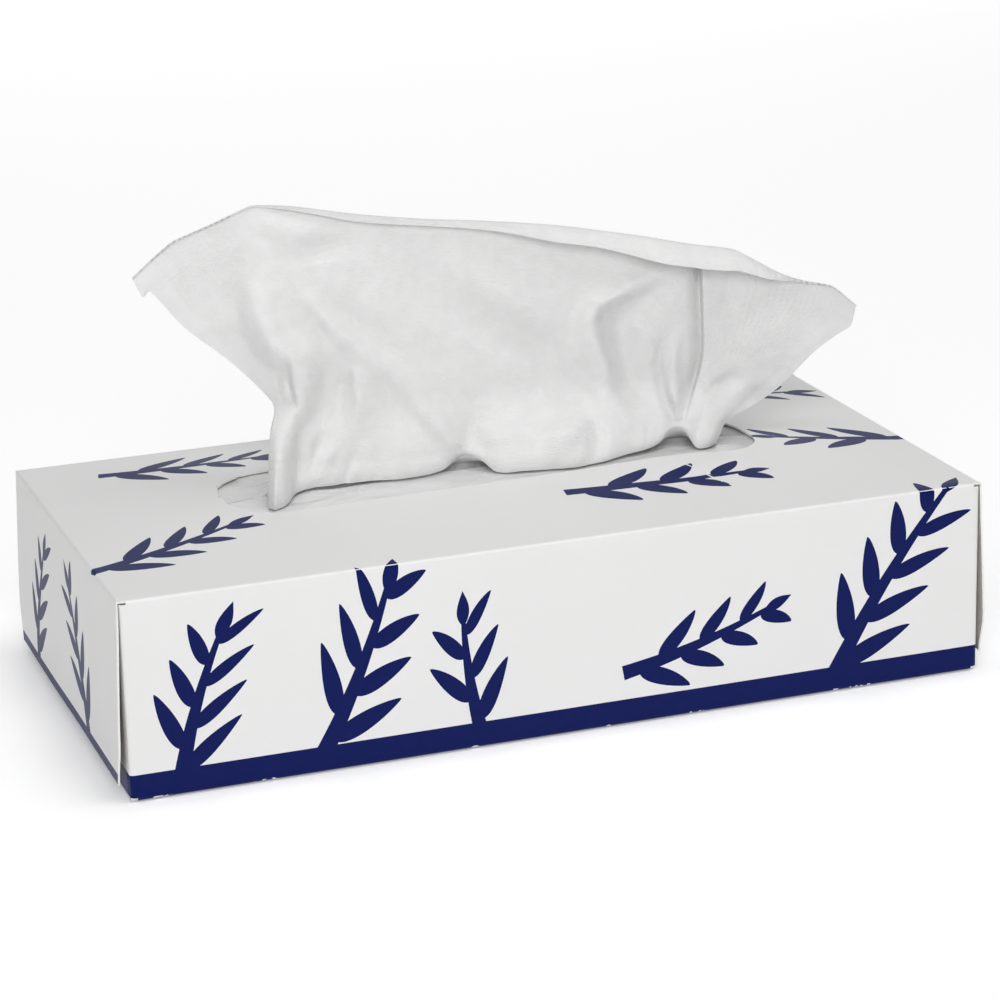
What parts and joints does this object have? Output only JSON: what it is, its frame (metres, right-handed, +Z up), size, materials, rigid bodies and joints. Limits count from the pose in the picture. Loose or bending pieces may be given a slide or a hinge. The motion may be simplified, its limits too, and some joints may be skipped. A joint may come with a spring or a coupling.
{
  "type": "tissue box",
  "caption": "Flat folding carton of facial tissues with an oval film-covered opening and a sheet pulled half way out of its slit.",
  "frame": {"origin": "middle of the bottom panel's underside", "axes": "+X along the carton's length, -Y towards its front panel, +Z up"},
  "size_m": [0.2332, 0.1174, 0.131],
  "materials": {
    "printed_board": "glossy varnish over navy print",
    "clear_film": "clear",
    "stacked_tissue": "soft matt",
    "loose_tissue": "soft matt, embossed edges",
    "hot_melt": "satin"
  },
  "bodies": {
    "root": {"carton": "printed_board", "film_window": "clear_film", "tissue_stack": "stacked_tissue", "pulled_tissue": "loose_tissue", "end_glue_left": "hot_melt", "end_glue_right": "hot_melt"}
  },
  "joints": []
}
